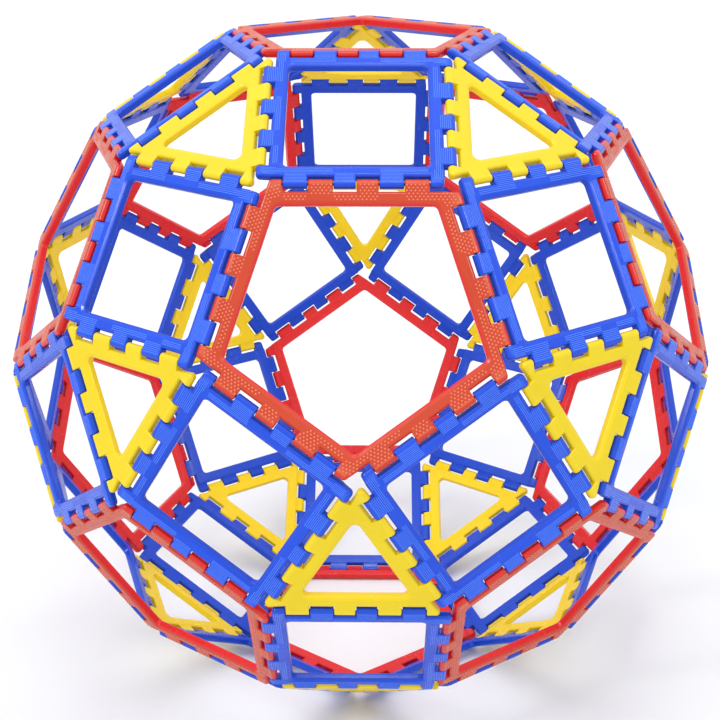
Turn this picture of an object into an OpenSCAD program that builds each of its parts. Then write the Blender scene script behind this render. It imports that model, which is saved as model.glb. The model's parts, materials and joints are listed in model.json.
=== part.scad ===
// Ball climber of clip-together hinged panels: 12 pentagons, 30 squares and 20 triangles of one edge length
// close into a rhombicosidodecahedron that stands on its base pentagon. Each panel is an open frame whose
// fingers interleave with its neighbours' fingers on the shared edge, which is their hinge line.
// Origin: the floor, under the ball's centre. +Z is up and -Y is the front.

/* [Panels] */
// Edge length of every panel, from hinge line to hinge line
edge = 310; // [240:5:400]
// Thickness of a panel's frame
panel_t = 16.5; // [14:0.5:20]
// Distance from the hinge line to the frame's outer side
bar_start = 12.4; // [11:0.1:16]
// Width of the frame's bars
bar_w = 23.2; // [18:0.1:34]
// Radius of the corners of a panel's opening
opening_r = 9.5; // [4:0.5:16]

/* [Hinge fingers] */
// Diameter of the round knuckle at a finger's end
knuckle_d = 16; // [13:0.2:17]
// Thickness of a finger between its knuckle and the frame
finger_t = 15.2; // [12:0.2:16]
// Space left at each side of a finger, half of the gap between two fingers
side_gap = 0.8; // [0.7:0.1:1.5]
// Distance from a panel's vertex to the round tip of its corner finger
corner_gap = 14; // [9:0.5:16]
// Width of a corner finger as a share of a whole finger
corner_share = 0.56; // [0.5:0.02:0.8]
// Width of the middle finger as a share of a whole finger
middle_share = 0.9; // [0.7:0.05:1.1]

/* [Colours] */
// Pentagon panels
pentagon_colour = "#d93a27"; // ["#d93a27":red, "#e2703a":orange]
// Square panels
square_colour = "#2a55e0"; // ["#2a55e0":blue, "#2f8f4e":green]
// Triangle panels
triangle_colour = "#f7dc30"; // ["#f7dc30":yellow, "#f2efe6":white]

/* [Hidden] */
$fn = 48;
RING = 5;
WAIST = 10;
TURN = 360 / RING;

knuckle_r = knuckle_d / 2;
bar_end = bar_start + bar_w;
// From the middle of an edge to its corner gap come a middle finger, two whole ones and a corner finger,
// each either this panel's or, on the other half, its neighbour's
pitch = (edge / 2 - corner_gap) / (2 + middle_share + corner_share);
middle_w = middle_share * pitch;
// Where the whole fingers end, and where the corner finger's round tip has its centre
row_x = middle_w + 2 * pitch;
tip_x = edge / 2 - corner_gap - knuckle_r;
// How far a finger runs into its bar
root_d = 2;
// A tip a little under the knuckle's radius meets it in a clean edge. The corner finger's outer side leaves
// the round tip at this angle from the hinge line
tip_r = knuckle_r - 0.05;
tip_turn = 30;
arc_steps = 6;

// The ball: distance from its centre to a vertex and to the middle of a panel, and the pentagons' directions
vertex_dist = edge / 2 * sqrt(11 + 4 * sqrt(5));
centre_h = panel_dist(5) + panel_t / 2;
PENTAGON_EL = atan(0.5);
TOP = [0, 0, 1];
BASE = [0, 0, -1];

function apothem(sides) = edge / (2 * tan(180 / sides));
// Where the corner of an outline that lies a depth inside the edges is, along the edge
function corner_x(sides, depth) = depth * tan(180 / sides) - edge / 2;
function panel_dist(sides) = sqrt(pow(vertex_dist, 2) - pow(edge / (2 * sin(180 / sides)), 2));
function unit(v) = v / norm(v);
function heading(az, el) = [cos(el) * cos(az), cos(el) * sin(az), sin(el)];
function upper(i) = heading(-90 + TURN * (i - 1), PENTAGON_EL);
function lower(i) = heading(-54 + TURN * (i - 1), -PENTAGON_EL);

// Corners of a regular outline with its sides at a distance, the first side square to +Y
function outline(sides, dist) =
    [for (i = [0:sides - 1]) let (a = 90 + 180 / sides + 360 / sides * i) dist / cos(180 / sides) * [cos(a), sin(a)]];

// The same outline with each corner turned on a radius
function round_outline(sides, dist, r) =
    [for (i = [0:sides - 1], s = [0:arc_steps])
        let (a = 90 + 180 / sides + 360 / sides * i, b = a + (s / arc_steps - 0.5) * 360 / sides)
        (dist - r) / cos(180 / sides) * [cos(a), sin(a)] + r * [cos(b), sin(b)]];

// One finger between two places along the hinge line, with its knuckle on the line
module finger(x_low, x_high) {
    translate([x_low, -bar_start - root_d, -finger_t / 2])
        cube([x_high - x_low, bar_start + root_d, finger_t]);
    translate([x_low, 0, 0])
        rotate([0, 90, 0]) cylinder(r = knuckle_r, h = x_high - x_low);
}

// The narrow finger at a corner: its tip is round and its outer side runs to the outer corner of the frame
module corner_finger(sides) {
    x_in = -row_x - side_gap;
    root_y = -bar_start - root_d;
    linear_extrude(finger_t, center = true)
        polygon([[-tip_x, 0], [x_in, 0], [x_in, root_y], [corner_x(sides, -root_y), root_y],
                 [corner_x(sides, bar_start), -bar_start],
                 [-tip_x - tip_r * cos(tip_turn), -tip_r * sin(tip_turn)]]);
    translate([-tip_x, 0, 0]) {
        rotate([0, 90, 0]) cylinder(r = knuckle_r, h = x_in + tip_x);
        sphere(r = tip_r);
    }
}

// The fingers of one edge, which is square to +Y. A panel turned face to face fills the gaps between them
module edge_fingers(sides) {
    for (span = [[row_x - pitch, row_x], [0, middle_w], [-middle_w - pitch, -middle_w]])
        finger(span[0] + side_gap, span[1] - side_gap);
    corner_finger(sides);
}

// A whole panel: an open frame with fingers on every edge, its outer side towards +Z
module panel(sides) {
    difference() {
        linear_extrude(panel_t, center = true) polygon(outline(sides, apothem(sides) - bar_start));
        linear_extrude(panel_t + 2, center = true)
            polygon(round_outline(sides, apothem(sides) - bar_end, opening_r));
    }
    for (i = [0:sides - 1])
        rotate(360 / sides * i) translate([0, apothem(sides), 0]) edge_fingers(sides);
}

// Puts a panel in the ball: it faces a direction, and its first edge lies towards another
module place(sides, facing, toward) {
    z = unit(facing);
    y = unit(toward - (toward * z) * z);
    x = cross(y, z);
    p = panel_dist(sides) * z + [0, 0, centre_h];
    multmatrix([[x[0], y[0], z[0], p[0]], [x[1], y[1], z[1], p[1]], [x[2], y[2], z[2], p[2]], [0, 0, 0, 1]])
        panel(sides);
}

module pentagon(facing, toward) { color(pentagon_colour) place(5, facing, toward); }
// A square lies between two pentagons, and a triangle between three
module square_between(a, b) { color(square_colour) place(4, a + b, a - b); }
module triangle_between(a, b, c) { color(triangle_colour) place(3, a + b + c, -a); }

module top_pentagon() { pentagon(TOP, upper(1)); }
module upper_pentagon(i) { pentagon(upper(i), TOP); }
module lower_pentagon(i) { pentagon(lower(i), BASE); }
module base_pentagon() { pentagon(BASE, lower(1)); }

module crown_square(i) { square_between(TOP, upper(i)); }
module shoulder_square(i) { square_between(upper(i), upper(i + 1)); }
// Odd waist squares lie to the left of an upper pentagon's lower corner, even ones to its right
module waist_square(i) { square_between(upper(ceil(i / 2)), lower(floor(i / 2))); }
module hip_square(i) { square_between(lower(i), lower(i - 1)); }
module foot_square(i) { square_between(lower(i), BASE); }

module crown_triangle(i) { triangle_between(TOP, upper(i), upper(i + 1)); }
module upper_triangle(i) { triangle_between(lower(i), upper(i), upper(i + 1)); }
module lower_triangle(i) { triangle_between(upper(i), lower(i - 1), lower(i)); }
// Five separate panels, one under each lower triangle, between the base and two lower pentagons
module foot_triangles() { for (i = [1:RING]) triangle_between(BASE, lower(i - 1), lower(i)); }

top_pentagon();
base_pentagon();
foot_triangles();
for (i = [1:RING]) {
    upper_pentagon(i);
    lower_pentagon(i);
    crown_square(i);
    shoulder_square(i);
    hip_square(i);
    foot_square(i);
    crown_triangle(i);
    upper_triangle(i);
    lower_triangle(i);
}
for (i = [1:WAIST]) {
    waist_square(i);
}
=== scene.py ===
"""Looks of the ball climber: 62 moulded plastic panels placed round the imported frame.

Three master panels (pentagon, square, triangle) are built in millimetres in a panel's own frame, outer side
towards +Z and first edge towards +Y, then one copy stands in for each CAD panel.
"""

import json
import math

import bmesh
import bpy
from mathutils import Matrix, Quaternion, Vector


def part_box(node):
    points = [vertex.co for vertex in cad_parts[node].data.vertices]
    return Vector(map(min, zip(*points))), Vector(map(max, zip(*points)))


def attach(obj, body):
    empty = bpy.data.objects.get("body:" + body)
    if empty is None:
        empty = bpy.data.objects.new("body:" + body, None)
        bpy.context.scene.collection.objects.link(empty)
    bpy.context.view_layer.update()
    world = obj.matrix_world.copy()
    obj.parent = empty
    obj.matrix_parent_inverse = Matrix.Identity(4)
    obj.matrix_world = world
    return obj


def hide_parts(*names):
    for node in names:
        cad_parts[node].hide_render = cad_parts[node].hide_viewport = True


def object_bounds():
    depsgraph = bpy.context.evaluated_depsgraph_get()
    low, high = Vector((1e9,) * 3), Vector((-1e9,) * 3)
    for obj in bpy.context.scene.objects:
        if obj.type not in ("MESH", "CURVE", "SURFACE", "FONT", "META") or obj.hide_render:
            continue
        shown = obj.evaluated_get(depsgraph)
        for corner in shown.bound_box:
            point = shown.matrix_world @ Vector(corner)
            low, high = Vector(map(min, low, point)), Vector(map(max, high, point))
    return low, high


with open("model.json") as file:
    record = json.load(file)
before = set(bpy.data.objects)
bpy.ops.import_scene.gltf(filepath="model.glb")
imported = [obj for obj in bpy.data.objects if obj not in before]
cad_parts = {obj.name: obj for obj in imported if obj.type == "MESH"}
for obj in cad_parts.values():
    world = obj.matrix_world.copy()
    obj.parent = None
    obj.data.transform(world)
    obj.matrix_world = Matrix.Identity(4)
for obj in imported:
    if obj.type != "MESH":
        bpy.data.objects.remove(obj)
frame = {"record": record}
cad_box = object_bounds()

# ---------------------------------------------------------------- sizes from the frame, in millimetres
MM = 0.001
RING = 5
WAIST = 10
TURN = 360 / RING
top_low, top_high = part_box("top_pentagon")
PANEL_T = (top_high.z - top_low.z) / MM
CENTRE_H = (cad_box[0].z + cad_box[1].z) / 2 / MM
# A vertex's distance from the ball's centre, for an edge of one
VERTEX_SHARE = math.sqrt(11 + 4 * math.sqrt(5)) / 2


def panel_share(sides):
    """A panel's distance from the ball's centre, for an edge of one."""
    return math.sqrt(VERTEX_SHARE**2 - (1 / (2 * math.sin(math.pi / sides))) ** 2)


EDGE = (CENTRE_H - PANEL_T / 2) / panel_share(5)

# The frame's bars: how far from the hinge line they start and end, and the radius of an opening's corners
BAR_START = 12.4
BAR_END = 35.6
OPENING_R = 9.5
# The outer face lies low enough for the texture on it to stay inside the CAD panel's thickness
FACE_Z = 7.45
BACK_Z = -PANEL_T / 2 + 0.05
# Fingers: their places along the edge, as in the CAD model, with slightly slimmer knuckles and pads
CORNER_GAP = 14
CORNER_SHARE = 0.56
MIDDLE_SHARE = 0.9
SIDE_GAP = 0.8
KNUCKLE_R = 7.7
PAD_Z = 7.49
ROOT_D = 22
PITCH = (EDGE / 2 - CORNER_GAP) / (2 + MIDDLE_SHARE + CORNER_SHARE)
MIDDLE_W = MIDDLE_SHARE * PITCH
ROW_X = MIDDLE_W + 2 * PITCH
TIP_X = EDGE / 2 - CORNER_GAP - KNUCKLE_R
SPANS = ((ROW_X - PITCH, ROW_X), (0, MIDDLE_W), (-MIDDLE_W - PITCH, -MIDDLE_W))


def apothem(sides):
    return EDGE / (2 * math.tan(math.pi / sides))


def corner_x(sides, depth):
    """Where the corner of an outline at a depth inside the edges is, along the edge."""
    return depth * math.tan(math.pi / sides) - EDGE / 2


def arc(cx, cy, rx, ry, start, end, steps):
    """Points along an ellipse from one angle to another, in degrees."""
    turns = [math.radians(start + (end - start) * k / steps) for k in range(steps + 1)]
    return [(cx + rx * math.cos(a), cy + ry * math.sin(a)) for a in turns]


def ring_turns(around):
    """Evenly spaced angles over a whole turn."""
    return [2 * math.pi * k / around for k in range(around)]


def add(name, data):
    """Puts a new object into the scene."""
    obj = bpy.data.objects.new(name, data)
    bpy.context.scene.collection.objects.link(obj)
    return obj


# ---------------------------------------------------------------- closed shells
def band(n, a, b):
    """Faces between loop a and loop b of n points each."""
    return [(a * n + k, a * n + (k + 1) % n, b * n + (k + 1) % n, b * n + k) for k in range(n)]


def skin(loops, ring=False):
    """Faces over closed loops of equal length. A ring joins its last loop to its first, and anything else
    gets a flat face at both ends."""
    n, count = len(loops[0]), len(loops)
    verts = [v for loop in loops for v in loop]
    faces = []
    for a in range(count if ring else count - 1):
        faces += band(n, a, (a + 1) % count)
    if not ring:
        faces += [tuple(reversed(range(n))), tuple(range((count - 1) * n, count * n))]
    return verts, faces


def hull(points):
    """The closed shell round a cloud of points."""
    bm = bmesh.new()
    for p in points:
        bm.verts.new(p)
    made = bmesh.ops.convex_hull(bm, input=bm.verts)
    inside = [v for v in made["geom_interior"] + made["geom_unused"] if isinstance(v, bmesh.types.BMVert)]
    bmesh.ops.delete(bm, geom=list(set(inside)), context="VERTS")
    bm.verts.index_update()
    shell = [tuple(v.co) for v in bm.verts], [tuple(v.index for v in f.verts) for f in bm.faces]
    bm.free()
    return shell


def solid(name, shells):
    """One object of closed shells, each given as (verts, faces, matrix)."""
    bm = bmesh.new()
    for verts, faces, matrix in shells:
        made = [bm.verts.new(matrix @ Vector(v)) for v in verts]
        for f in faces:
            bm.faces.new([made[i] for i in f])
    bmesh.ops.recalc_face_normals(bm, faces=bm.faces)
    mesh = bpy.data.meshes.new(name)
    bm.to_mesh(mesh)
    bm.free()
    return add(name, mesh)


def on_edge(sides, i):
    """From an edge's frame (x along the hinge line, y outwards) to the panel's."""
    return Matrix.Rotation(math.radians(360 / sides * i), 4, "Z") @ Matrix.Translation((0, apothem(sides), 0))


# ---------------------------------------------------------------- the frame's bars
# A bar's outer side is rounded over a width and a height, and turns the panel's corners on a small radius
SHOULDER_W = 5.5
SHOULDER_H = 6
OUTER_CORNER_R = 3
# Its face is flat between two depths. From the second, a bevel and a rounded lip lead down into the opening
FLAT_START = 18
FLAT_END = 28
BEVEL_W = 0.9
BEVEL_DROP = 0.22
LIP_R = 4.0
LIP_Z = 2.0
LIP_TURN = 66
# Its back is rounded towards the opening and towards the outer side
BACK_LIP_R = 3.5
BACK_SHOULDER_R = 4.5
CORNER_STEPS = 8


def corner_radius(depth):
    """Corner radius of the outline at a depth: small outside, round at the opening and concentric with it."""
    if depth >= FLAT_END:
        return OPENING_R + BAR_END - depth
    share = max(0, (depth - FLAT_START) / (FLAT_END - FLAT_START))
    return OUTER_CORNER_R + share * (OPENING_R + BAR_END - FLAT_END - OUTER_CORNER_R)


def bar_section():
    """(depth, height) round a bar's section: shoulder, flat face, bevel, lip and the back's rounded edges."""
    shoulder = arc(BAR_START + SHOULDER_W, FACE_Z - SHOULDER_H, SHOULDER_W, SHOULDER_H, 180, 90, steps=7)
    bevel = [(FLAT_END, FACE_Z), (FLAT_END + BEVEL_W, FACE_Z - BEVEL_DROP)]
    lip = arc(BAR_END - LIP_R, LIP_Z, LIP_R, LIP_R, LIP_TURN, 0, steps=6)
    near, far = BACK_LIP_R, BACK_SHOULDER_R
    back = arc(BAR_END - near, BACK_Z + near, near, near, 0, -90, steps=5)
    back += arc(BAR_START + far, BACK_Z + far, far, far, -90, -180, steps=5)
    return shoulder + bevel + lip + back


def bars(sides):
    """The open frame without its fingers."""
    loops = []
    for depth, z in bar_section():
        r = corner_radius(depth)
        dist = (apothem(sides) - depth - r) / math.cos(math.pi / sides)
        loop = []
        for i in range(sides):
            corner = math.radians(90 + 180 / sides + 360 / sides * i)
            for s in range(CORNER_STEPS + 1):
                turn = corner + (s / CORNER_STEPS - 0.5) * 2 * math.pi / sides
                x = dist * math.cos(corner) + r * math.cos(turn)
                y = dist * math.sin(corner) + r * math.sin(turn)
                loop.append((x, y, z))
        loops.append(loop)
    return (*skin(loops, ring=True), Matrix.Identity(4))


# ---------------------------------------------------------------- hinge fingers
# Radius of a finger's rounded sides
SIDE_R = 1.8
SIDE_STEPS = 4
KNUCKLE_STEPS = 22
# How far a corner finger's root runs past the bar's shoulder
CORNER_ROOT = 2
BLOB_AROUND = 24
BLOB_STEPS = 7


def finger_section(side_drop, root):
    """(y, z) round a finger's section: a flat pad that ends in a round knuckle on the hinge line."""
    meet = math.degrees(math.acos(-math.sqrt(KNUCKLE_R**2 - PAD_Z**2) / KNUCKLE_R))
    knuckle = arc(0, 0, KNUCKLE_R, KNUCKLE_R, meet, -meet, KNUCKLE_STEPS)
    points = [(-root, PAD_Z)] + knuckle + [(-root, -PAD_Z)]
    share = 1 - side_drop / KNUCKLE_R
    return [(y * share if y > 0 else y, z * share) for y, z in points]


def side_stations():
    """(distance from the side face, how much lower the section is there) over a finger's rounded side."""
    turns = [math.pi / 2 * k / SIDE_STEPS for k in range(SIDE_STEPS + 1)]
    return [(SIDE_R * (1 - math.cos(t)), SIDE_R * (1 - math.sin(t))) for t in turns]


def finger(x_low, x_high):
    """A whole finger between two places along the hinge line."""
    stations = [(x_low + s, drop) for s, drop in side_stations()]
    stations += [(x_high - s, drop) for s, drop in reversed(side_stations())]
    return skin([[(x, y, z) for y, z in finger_section(drop, ROOT_D)] for x, drop in stations])


def blob(cx, cy, rx, rz, squareness):
    """Points over a flattened ball that is fuller to its sides than towards the hinge line."""
    points = []
    for a in ring_turns(BLOB_AROUND):
        power = 2 + squareness * math.cos(a) ** 2
        for t in [math.pi / 2 * k / BLOB_STEPS for k in range(BLOB_STEPS + 1)]:
            out, up = math.cos(t) ** (2 / power), math.sin(t) ** (2 / power)
            x, y = cx + rx * out * math.cos(a), cy + rx * out * math.sin(a)
            points += [(x, y, rz * up), (x, y, -rz * up)]
    return points


def corner_finger(sides):
    """The narrow finger at a corner: a round tip, and a straight outer side down to the frame's corner."""
    full = BAR_START + SHOULDER_W
    points = blob(-TIP_X, 0, KNUCKLE_R, KNUCKLE_R, squareness=1.3)
    points += blob(corner_x(sides, full), -full, SHOULDER_W, PAD_Z, squareness=0.6)
    for s, drop in side_stations():
        section = finger_section(drop, full + CORNER_ROOT)
        points += [(-ROW_X - SIDE_GAP - s, y, z) for y, z in section]
    return hull(points)


# A round pip on the hinge line stands out of one finger into a dimple in the next panel's finger
PIP_R = 3.2
PIP_OUT = 2.1
DIMPLE_R = 3.6
DIMPLE_IN = 0.9


def cap(radius, height, steps=5, around=20, below=0.6):
    """A shallow dome on the plane z = 0, closed a little below it."""
    ball = (radius**2 + height**2) / (2 * height)
    edge = math.asin(radius / ball)
    loops = [[(radius * math.cos(a), radius * math.sin(a), -below) for a in ring_turns(around)]]
    for k in range(steps):
        t = edge * (1 - k / steps)
        r, z = ball * math.sin(t), ball * math.cos(t) - ball + height
        loops.append([(r * math.cos(a), r * math.sin(a), z) for a in ring_turns(around)])
    verts = [v for loop in loops for v in loop] + [(0, 0, height)]
    faces = [tuple(reversed(range(around)))]
    for a in range(len(loops) - 1):
        faces += band(around, a, a + 1)
    last = (len(loops) - 1) * around
    faces += [(last + k, last + (k + 1) % around, len(verts) - 1) for k in range(around)]
    return verts, faces


def facing_x(x, side):
    """Turns a dome's +Z to the edge's +X or -X, at a place on the hinge line."""
    return Matrix.Translation((x, 0, 0)) @ Matrix.Rotation(side * math.pi / 2, 4, "Y")


def pips():
    """Where pips stand: the middle and right fingers' +X sides and the left finger's -X side."""
    right, middle, left = SPANS
    return [
        (middle[1] - SIDE_GAP, 1),
        (right[1] - SIDE_GAP, 1),
        (left[0] + SIDE_GAP, -1),
    ]


def dimples():
    """Where dimples are: opposite the next panel's pips."""
    right, middle, left = SPANS
    return [
        (left[1] - SIDE_GAP, 1),
        (-ROW_X - SIDE_GAP, 1),
        (right[0] + SIDE_GAP, -1),
    ]


# ---------------------------------------------------------------- moulded grip texture
# Depths between which a bar carries texture, and how far inside its outermost whole finger that starts
BAR_FLAT = (18.6, 27.4)
BAR_MARGIN = 1.5

# Domes stand on the pentagons in staggered rows. A row's domes are counted from the edge's middle, and its
# last ones lie past the corner, on the next edge's corner finger
BUMP_PITCH = 6.757
BUMP_ROW = 4.8
BUMP_R = 1.75
BUMP_H = 0.77
BUMP_ROWS = 8
FIRST_ROW = 2.0
FIRST_BUMP = -22
LAST_BUMP = 25
SIDE_MARGIN = SIDE_GAP + 2.6
# On a corner finger the domes lie between two depths. They reach past the tip's centre at the hinge line, and
# past the frame's corner at the root, and start a little before the last whole finger ends
TIP_FLAT = (1.8, 24)
TIP_REACH = 4.2
ROOT_REACH = 2.7
TIP_OVERLAP = 4

# Ribs run along the squares' edges. Their taper pairs a distance from an end with the share of height there
RIB_PITCH = 3.1
RIB_FIRST = 1.3
RIB_W = 1.9
RIB_H = 0.7
RIB_ROWS = 10
RIB_TAPER = ((0, 0.05), (0.5, 0.7), (1.1, 1))
# Width of a rib's foot, inside the panel, as a share of its own
RIB_FOOT_SHARE = 0.4
RIB_MARGIN = SIDE_GAP + SIDE_R
RIB_START = -ROW_X + 2
RIB_END = EDGE / 2 - 2.4
# Past this depth, the rows beside the bar's flat stretch have a rib across the next edge's corner finger
CORNER_RIB_DEPTH = 16
CORNER_RIB_START = EDGE / 2 - 26
# How far domes and ribs reach down into the panel
TEXTURE_ROOT = 0.3


def in_pad(x):
    return any(low + SIDE_MARGIN <= x <= high - SIDE_MARGIN for low, high in SPANS)


def smooth_windows(sides, i):
    """Plain stretches of a bar, as (from, to) along the edge. One edge of each panel has two short ones."""
    if sides == 5:
        return ((-78, -36), (36, 79)) if i == 0 else ((-46, 49),)
    return ((-74, -40), (42, 78)) if i == 1 else ((-37.5, 37.5),)


def in_window(sides, i, x):
    return any(low < x < high for low, high in smooth_windows(sides, i))


def on_corner_finger(sides, x, depth):
    """Whether a place is on the textured part of an edge's own corner finger."""
    at_hinge = -TIP_X - TIP_REACH
    at_root = corner_x(sides, FLAT_START) - ROOT_REACH
    outer_side = at_hinge + (at_root - at_hinge) * depth / FLAT_START
    return TIP_FLAT[0] <= depth < TIP_FLAT[1] and outer_side <= x <= -ROW_X - SIDE_MARGIN


def bump_places(sides, i):
    """Places (x, depth) of the domes that follow edge i: on its pads, along its bar, and on the corner finger
    at the bar's +X end, which belongs to the neighbouring edge."""
    found = []
    to_next = on_edge(sides, i - 1).inverted() @ on_edge(sides, i)
    for row in range(BUMP_ROWS):
        depth = FIRST_ROW + BUMP_ROW * row
        shift = 0.5 if row % 2 else 0
        for k in range(FIRST_BUMP, LAST_BUMP + 1):
            x = BUMP_PITCH * (k + shift)
            there = to_next @ Vector((x, -depth, 0))
            next_x, next_depth = there.x, -there.y
            on_pad = depth < BAR_FLAT[0] and in_pad(x)
            on_flat = BAR_FLAT[0] <= depth <= BAR_FLAT[1] and next_depth >= BAR_FLAT[0]
            on_bar = on_flat and x > -ROW_X + BAR_MARGIN and not in_window(sides, i, x)
            on_tip = x > ROW_X - TIP_OVERLAP and on_corner_finger(sides, next_x, next_depth)
            if on_pad or on_bar or on_tip:
                found.append((x, depth))
    return found


def bumps(sides):
    dome = cap(BUMP_R, BUMP_H, steps=3, around=10, below=TEXTURE_ROOT)
    lift = Matrix.Translation((0, 0, FACE_Z))
    return [
        (*dome, on_edge(sides, i) @ Matrix.Translation((x, -depth, 0)) @ lift)
        for i in range(sides)
        for x, depth in bump_places(sides, i)
    ]


def rib(x_low, x_high):
    """A low rounded ridge along x, tapered at its ends."""
    ball = (RIB_W**2 / 4 + RIB_H**2) / (2 * RIB_H)
    edge = math.degrees(math.asin(RIB_W / 2 / ball))
    top = arc(0, RIB_H - ball, ball, ball, 90 - edge, 90 + edge, steps=6)
    foot = RIB_W / 2 * RIB_FOOT_SHARE
    stations = [(x_low + s, share) for s, share in RIB_TAPER]
    stations += [(x_high - s, share) for s, share in reversed(RIB_TAPER)]
    loops = []
    for x, share in stations:
        width = RIB_FOOT_SHARE + (1 - RIB_FOOT_SHARE) * share
        crest = [(x, y * width, z * share) for y, z in top]
        loops.append(crest + [(x, -foot, -TEXTURE_ROOT), (x, foot, -TEXTURE_ROOT)])
    return skin(loops)


def rib_lines(sides, i):
    """(depth, from, to) of the ribs that follow edge i of a square."""
    lines = []
    for k in range(RIB_ROWS):
        depth = RIB_FIRST + RIB_PITCH * k
        if depth < BAR_FLAT[0]:
            lines += [(depth, low + RIB_MARGIN, high - RIB_MARGIN) for low, high in SPANS]
        elif depth < BAR_FLAT[1]:
            stops = [RIB_START] + [x for window in smooth_windows(sides, i) for x in window] + [RIB_END]
            lines += [(depth, stops[j], stops[j + 1]) for j in range(0, len(stops), 2)]
        if not BAR_FLAT[0] < depth < BAR_FLAT[1] and depth > CORNER_RIB_DEPTH:
            lines.append((depth, CORNER_RIB_START, RIB_END))
    return lines


def ribs(sides):
    lift = Matrix.Translation((0, 0, FACE_Z))
    return [
        (*rib(low, high), on_edge(sides, i) @ Matrix.Translation((0, -depth, 0)) @ lift)
        for i in range(sides)
        for depth, low, high in rib_lines(sides, i)
    ]


# ---------------------------------------------------------------- master panels
SMOOTH_ANGLE = math.radians(32)
# The heights between which a place turns from face to texture crest, and from rounded rim to outer face
CREST_HEIGHTS = (PAD_Z + 0.03, PAD_Z + 0.03 + 0.8 * BUMP_H)
FACE_HEIGHTS = (4.2, FACE_Z - 0.5)


def evaluated(obj):
    return bpy.data.meshes.new_from_object(obj.evaluated_get(bpy.context.evaluated_depsgraph_get()))


def discard(*objs):
    for obj in objs:
        mesh = obj.data
        bpy.data.objects.remove(obj)
        bpy.data.meshes.remove(mesh)


def combine(base, tool, operation):
    """Merges tool into base, or cuts it out, and gives the new solid."""
    join = base.modifiers.new("join", "BOOLEAN")
    join.object, join.operation, join.solver = tool, operation, "MANIFOLD"
    result = add(base.name, evaluated(base))
    discard(base, tool)
    return result


def mark_heights(mesh):
    """Writes two numbers from 0 to 1 at each point for the material to read: how far it stands up out of the
    panel's face, and how fully it belongs to the outer face, which ends at the rounded rims. The material
    paints a highlight by the first, and a lit tone against a shaded one by the second."""

    def write(name, low, high):
        shares = [min(1, max(0, (v.co.z - low) / (high - low))) for v in mesh.vertices]
        mesh.attributes.new(name, "FLOAT", "POINT").data.foreach_set("value", shares)

    write("raised", *CREST_HEIGHTS)
    write("outer_face", *FACE_HEIGHTS)


def master_panel(name, sides, texture):
    """The mesh of one kind of panel, in metres, in the panel's own frame."""
    edges = [on_edge(sides, i) for i in range(sides)]
    fingers = [(*finger(low + SIDE_GAP, high - SIDE_GAP), e) for e in edges for low, high in SPANS]
    fingers += [(*corner_finger(sides), e) for e in edges]
    hollow, knob = cap(DIMPLE_R, DIMPLE_IN), cap(PIP_R, PIP_OUT)
    hollows = [(*hollow, e @ facing_x(x, -side)) for e in edges for x, side in dimples()]
    knobs = [(*knob, e @ facing_x(x, side)) for e in edges for x, side in pips()]
    panel = combine(solid(name, [bars(sides)]), solid("fingers", fingers), "UNION")
    panel = combine(panel, solid("dimples", hollows), "DIFFERENCE")
    panel = combine(panel, solid("pips", knobs), "UNION")
    if texture:
        panel = combine(panel, solid("texture", texture(sides)), "UNION")
    mark_heights(panel.data)
    panel.data.transform(Matrix.Scale(MM, 4))
    panel.data.shade_smooth()
    panel.data.set_sharp_from_angle(angle=SMOOTH_ANGLE)
    soften = panel.modifiers.new("soften", "WEIGHTED_NORMAL")
    soften.keep_sharp = True
    mesh = evaluated(panel)
    mesh.name = name
    discard(panel)
    return mesh


# ---------------------------------------------------------------- materials
def feed(tree, socket, value):
    """Links another node's output to a socket, or sets the socket to a plain value."""
    if isinstance(value, bpy.types.NodeSocket):
        tree.links.new(value, socket)
    else:
        socket.default_value = value


def node(tree, kind, **inputs):
    made = tree.nodes.new(kind)
    for key, value in inputs.items():
        feed(tree, made.inputs[key.replace("_", " ")], value)
    return made


def calculate(tree, kind, operation, *values):
    """A maths node's result, of the kind for plain numbers or the kind for vectors."""
    made = tree.nodes.new(kind)
    made.operation = operation
    for socket, value in zip(made.inputs, values):
        feed(tree, socket, value)
    return made.outputs[0]


def noise(tree, where, scale, detail=3.0, rough=0.55):
    made = node(tree, "ShaderNodeTexNoise", Vector=where, Scale=scale, Detail=detail, Roughness=rough)
    return made.outputs["Fac"]


def ramp(tree, value, low, high, to_low, to_high):
    """A value stretched from one range to another, and kept inside it."""
    made = tree.nodes.new("ShaderNodeMapRange")
    made.inputs["From Min"].default_value, made.inputs["From Max"].default_value = low, high
    made.inputs["To Min"].default_value, made.inputs["To Max"].default_value = to_low, to_high
    tree.links.new(value, made.inputs["Value"])
    return made.outputs["Result"]


def mix(tree, factor, a, b):
    """A colour between two others."""
    made = tree.nodes.new("ShaderNodeMix")
    made.data_type = "RGBA"
    for socket, value in ((made.inputs[0], factor), (made.inputs[6], a), (made.inputs[7], b)):
        feed(tree, socket, value)
    return made.outputs[2]


def attribute(tree, name):
    made = tree.nodes.new("ShaderNodeAttribute")
    made.attribute_name = name
    return made.outputs["Fac"]


PLASTIC_IOR = 1.4
# The middle of a noise's range, which is stretched to the whole
NOISE_LOW = 0.3
NOISE_HIGH = 0.7
# How far apart in the noises two panels can be
PANEL_APART = (7, 11, 5)
# The most that a panel's colour leans to the deep tone, a crest to its painted highlight tone, and a scuff to
# its own
PANEL_DRIFT = 0.35
CREST_HIGHLIGHT_TINT = 0.62
SCUFF_TINT = 0.13
# How much rougher a scuff is, how wide its line is in the noise it follows, and where its patches fade in
SCUFF_ROUGH = 0.25
SCUFF_LINE = 0.014
PATCH_LOW = 0.57
PATCH_HIGH = 0.71


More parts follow.
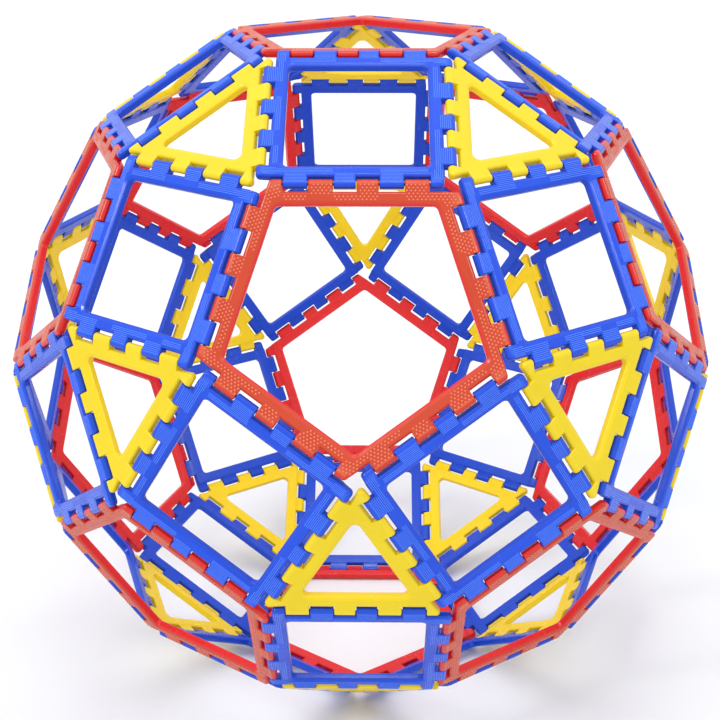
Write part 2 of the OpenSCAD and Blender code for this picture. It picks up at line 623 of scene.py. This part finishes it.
def scuffs(t, where):
    """Hair-thin lines where a stretched noise crosses its middle value, only in patches."""
    stretched = node(t, "ShaderNodeMapping", Vector=where, Scale=(1, 0.12, 1), Rotation=(0, 0, 0.6))
    hair = noise(t, stretched.outputs["Vector"], scale=260, detail=3, rough=0.6)
    past_middle = calculate(t, "ShaderNodeMath", "SUBTRACT", hair, 0.5)
    off_middle = calculate(t, "ShaderNodeMath", "ABSOLUTE", past_middle)
    thin = ramp(t, off_middle, 0, SCUFF_LINE, 1, 0)
    patch = ramp(t, noise(t, where, scale=22, detail=3), PATCH_LOW, PATCH_HIGH, 0, 1)
    return calculate(t, "ShaderNodeMath", "MULTIPLY", thin, patch)


def plastic(name, body, deep, inner, scuffed, crest, rough_low, rough_high):
    """Glossy moulded plastic: its colour drifts a little within and between panels, flow marks and fine grain
    break up the gloss, and hair-thin scuffs from climbing dull it. Painted light: the outer face has a paler
    lit tone against a deeper shaded tone inside, and the crests of the grip texture a painted highlight."""
    mat = bpy.data.materials.new(name)
    mat.use_nodes = True
    t = mat.node_tree
    shader = t.nodes["Principled BSDF"]
    shader.inputs["IOR"].default_value = PLASTIC_IOR
    place = t.nodes.new("ShaderNodeTexCoord").outputs["Object"]
    panel = t.nodes.new("ShaderNodeObjectInfo").outputs["Random"]
    # Each panel reads the noises at a place of its own
    where = calculate(t, "ShaderNodeVectorMath", "MULTIPLY_ADD", panel, PANEL_APART, place)

    drift = ramp(t, noise(t, where, scale=9, detail=2), NOISE_LOW, NOISE_HIGH, 0, 1)
    colour = mix(t, drift, (*body, 1), (*deep, 1))
    colour = mix(t, ramp(t, panel, 0, 1, 0, PANEL_DRIFT), colour, (*deep, 1))
    # The outer face gets the body colour and the inside and the rims the inner one: painted light, a paler
    # lit tone outside and a deeper shaded tone inside, of one plastic
    colour = mix(t, attribute(t, "outer_face"), (*inner, 1), colour)
    # The crests of the grip texture get a paler colour: a painted highlight standing in for the glints on the
    # domes and ribs
    colour = mix(t, ramp(t, attribute(t, "raised"), 0, 1, 0, CREST_HIGHLIGHT_TINT), colour, (*crest, 1))
    scuff = scuffs(t, where)
    colour = mix(t, ramp(t, scuff, 0, 1, 0, SCUFF_TINT), colour, (*scuffed, 1))
    t.links.new(colour, shader.inputs["Base Color"])

    gloss = ramp(t, noise(t, where, scale=34, detail=3), NOISE_LOW, NOISE_HIGH, rough_low, rough_high)
    rough = calculate(t, "ShaderNodeMath", "MULTIPLY_ADD", scuff, SCUFF_ROUGH, gloss)
    t.links.new(rough, shader.inputs["Roughness"])

    marks = noise(t, where, scale=26, detail=2)
    flow = node(t, "ShaderNodeBump", Strength=0.35, Distance=0.0006, Height=marks)
    grain = ramp(t, noise(t, where, scale=420, detail=2), NOISE_LOW, NOISE_HIGH, 0, 1)
    flowed = flow.outputs["Normal"]
    peel = node(t, "ShaderNodeBump", Strength=0.3, Distance=0.00006, Height=grain, Normal=flowed)
    t.links.new(peel.outputs["Normal"], shader.inputs["Normal"])
    return mat


# Each plastic's crest colour is a painted highlight, and its body and inner colours are painted lit and
# shaded tones of the outer face and the inside
RED = plastic(
    "red_moulded_plastic",
    body=(0.55, 0.054, 0.012),
    deep=(0.50, 0.040, 0.010),
    inner=(0.66, 0.012, 0.012),
    scuffed=(0.85, 0.30, 0.18),
    crest=(0.90, 0.32, 0.17),
    rough_low=0.20,
    rough_high=0.29,
)
BLUE = plastic(
    "blue_moulded_plastic",
    body=(0.004, 0.070, 0.66),
    deep=(0.003, 0.055, 0.57),
    inner=(0.003, 0.052, 0.50),
    scuffed=(0.18, 0.34, 0.90),
    crest=(0.10, 0.28, 1.0),
    rough_low=0.19,
    rough_high=0.28,
)
YELLOW = plastic(
    "yellow_moulded_plastic",
    body=(0.77, 0.585, 0.003),
    deep=(0.73, 0.54, 0.003),
    inner=(0.82, 0.58, 0.004),
    scuffed=(0.95, 0.82, 0.35),
    crest=(0.9, 0.75, 0.1),
    rough_low=0.19,
    rough_high=0.28,
)

KINDS = {
    5: (master_panel("pentagon_panel", 5, bumps), RED, "red_plastic"),
    4: (master_panel("square_panel", 4, ribs), BLUE, "blue_plastic"),
    3: (master_panel("triangle_panel", 3, None), YELLOW, "yellow_plastic"),
}
for mesh, material, _ in KINDS.values():
    mesh.materials.clear()
    mesh.materials.append(material)

# ---------------------------------------------------------------- the ball
PENTAGON_EL = math.atan(0.5)
TOP = Vector((0, 0, 1))
BASE = -TOP


def heading(azimuth, elevation):
    """A direction, from an azimuth in degrees and an elevation in radians."""
    a = math.radians(azimuth)
    return Vector((math.cos(elevation) * math.cos(a), math.cos(elevation) * math.sin(a), math.sin(elevation)))


def upper(i):
    return heading(-90 + TURN * (i - 1), PENTAGON_EL)


def lower(i):
    return heading(-54 + TURN * (i - 1), -PENTAGON_EL)


def place(sides, facing, toward, cad_node, name=None):
    """Puts a copy of a master panel where the CAD model has it: it faces a direction, with its first edge
    towards another, and rides on the body that its CAD node belongs to."""
    z = facing.normalized()
    y = (toward - toward.dot(z) * z).normalized()
    x = y.cross(z)
    p = (panel_share(sides) * EDGE * z + Vector((0, 0, CENTRE_H))) * MM
    master, _, slot = KINDS[sides]
    mesh = master.copy()
    mesh.transform(Matrix(((x.x, y.x, z.x, p.x), (x.y, y.y, z.y, p.y), (x.z, y.z, z.z, p.z), (0, 0, 0, 1))))
    panel = add((name or cad_node) + "_panel", mesh)
    bodies = frame["record"]["behaviour"]["bodies"]
    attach(panel, next(body for body, members in bodies.items() if cad_node in members))
    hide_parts(cad_node)


def square_between(a, b, cad_node):
    place(4, a + b, a - b, cad_node)


def triangle_between(a, b, c, cad_node, name=None):
    place(3, a + b + c, -a, cad_node, name)


place(5, TOP, upper(1), "top_pentagon")
place(5, BASE, lower(1), "base_pentagon")
for i in range(1, RING + 1):
    place(5, upper(i), TOP, f"upper_pentagon_{i}")
    place(5, lower(i), BASE, f"lower_pentagon_{i}")
    square_between(TOP, upper(i), f"crown_square_{i}")
    square_between(upper(i), upper(i + 1), f"shoulder_square_{i}")
    square_between(lower(i), lower(i - 1), f"hip_square_{i}")
    square_between(lower(i), BASE, f"foot_square_{i}")
    triangle_between(TOP, upper(i), upper(i + 1), f"crown_triangle_{i}")
    triangle_between(lower(i), upper(i), upper(i + 1), f"upper_triangle_{i}")
    triangle_between(upper(i), lower(i - 1), lower(i), f"lower_triangle_{i}")
    triangle_between(BASE, lower(i - 1), lower(i), "foot_triangles", f"foot_triangle_{i}")
for i in range(1, WAIST + 1):
    square_between(upper((i + 1) // 2), lower(i // 2), f"waist_square_{i}")

# ---------------------------------------------------------------- floor and sky
# The photograph's full colours and white ground are past what the default view transform shows
bpy.context.scene.view_settings.view_transform = "Standard"

FLOOR_R = 60
# The sky's strength at the horizon and overhead
HORIZON = 0.86
OVERHEAD = 1.52


def pale_floor():
    """A pale matt floor with a faint cloudiness."""
    mat = bpy.data.materials.new("pale_floor")
    mat.use_nodes = True
    t = mat.node_tree
    shader = t.nodes["Principled BSDF"]
    cloud = noise(t, t.nodes.new("ShaderNodeTexCoord").outputs["Object"], scale=3, detail=3)
    colour = mix(t, cloud, (0.75, 0.75, 0.755, 1), (0.78, 0.78, 0.78, 1))
    t.links.new(colour, shader.inputs["Base Color"])
    shader.inputs["Roughness"].default_value = 0.6
    shader.inputs["Specular IOR Level"].default_value = 0.2
    return mat


def floor_disc():
    bm = bmesh.new()
    bmesh.ops.create_circle(bm, cap_ends=True, segments=96, radius=FLOOR_R)
    mesh = bpy.data.meshes.new("floor")
    bm.to_mesh(mesh)
    bm.free()
    mesh.materials.append(pale_floor())
    return add("floor", mesh)


def studio_sky():
    """A room that is brightest overhead."""
    world = bpy.data.worlds.new("studio")
    bpy.context.scene.world = world
    world.use_nodes = True
    t = world.node_tree
    sky = t.nodes["Background"]
    sky.inputs["Color"].default_value = (0.95, 0.97, 1.0, 1)
    direction = t.nodes.new("ShaderNodeTexCoord").outputs["Generated"]
    up = node(t, "ShaderNodeSeparateXYZ", Vector=direction).outputs["Z"]
    t.links.new(ramp(t, up, 0, 1, HORIZON, OVERHEAD), sky.inputs["Strength"])


floor = floor_disc()
studio_sky()

# ---------------------------------------------------------------- lights
# The key light stands where the highlights on the front panel's rounded edges say
KEY_AZIMUTH = -54
KEY_ELEVATION = 44
CENTRE = Vector((0, 0, CENTRE_H * MM))
REACH = EDGE * MM


def turn_to(obj, direction):
    """Turns a light or camera to look along a direction."""
    obj.rotation_mode = "QUATERNION"
    obj.rotation_quaternion = direction.to_track_quat("-Z", "Y")


def soft_light(name, azimuth, elevation, distance, size, power):
    """A square softbox aimed at the ball's centre. Azimuth 0 is in front, 90 to the right."""
    data = bpy.data.lights.new(name, "AREA")
    data.shape, data.size, data.energy = "SQUARE", size, power
    light = add(name, data)
    out = heading(azimuth - 90, math.radians(elevation))
    light.location = CENTRE + out * distance
    turn_to(light, -out)


def far_light(name, azimuth, elevation, energy, angle):
    """A light so far off that its rays are parallel. Azimuth 0 is in front, 90 to the right."""
    data = bpy.data.lights.new(name, "SUN")
    data.energy, data.angle = energy, math.radians(angle)
    light = add(name, data)
    turn_to(light, -heading(azimuth - 90, math.radians(elevation)))
    return light


def glint(name, azimuth, elevation, energy, angle):
    """The bright middle of one of the studio's softboxes, which only the gloss picks up."""
    far_light(name, azimuth, elevation, energy, angle).visible_diffuse = False


def inner_glow(power, radius):
    """A soft glow in the ball, as from the white room round it, which the gloss doesn't mirror."""
    data = bpy.data.lights.new("inner_glow", "POINT")
    data.energy, data.shadow_soft_size = power, radius
    glow = add("inner_glow", data)
    glow.location = CENTRE
    glow.visible_camera = glow.visible_glossy = False


far_light("key_light", KEY_AZIMUTH, KEY_ELEVATION, energy=0.7, angle=15)
glint("left_glint", KEY_AZIMUTH, KEY_ELEVATION, energy=0.95, angle=12)
glint("right_glint", azimuth=52, elevation=40, energy=0.7, angle=12)
glint("top_glint", azimuth=12, elevation=76, energy=0.45, angle=10)
soft_light("top_softbox", azimuth=20, elevation=72, distance=3.6, size=2.2, power=10)
soft_light("fill_softbox", azimuth=14, elevation=14, distance=4.5, size=2.4, power=8)
inner_glow(power=5.5, radius=0.3)

# ---------------------------------------------------------------- camera
# It was solved from the ball's vertices in the photograph, in edges from the ball's centre
CAMERA_AT = Vector((0.121, -8.282, 3.255))
CAMERA_AIM = Vector((-0.006, 0, -0.052))
CAMERA_ROLL = math.radians(-0.129)
FOCAL_MM = 66.84
SENSOR_MM = 36
# Far enough to see past the floor's edge
VIEW_END = 200

camera_data = bpy.data.cameras.new("camera")
camera_data.lens = FOCAL_MM
camera_data.sensor_width = SENSOR_MM
camera_data.clip_end = VIEW_END
camera = add("camera", camera_data)
camera.location = CENTRE + CAMERA_AT * REACH
turn_to(camera, CAMERA_AIM - CAMERA_AT)
camera.rotation_quaternion = camera.rotation_quaternion @ Quaternion((0, 0, 1), CAMERA_ROLL)
bpy.context.scene.camera = camera

bpy.context.view_layer.update()
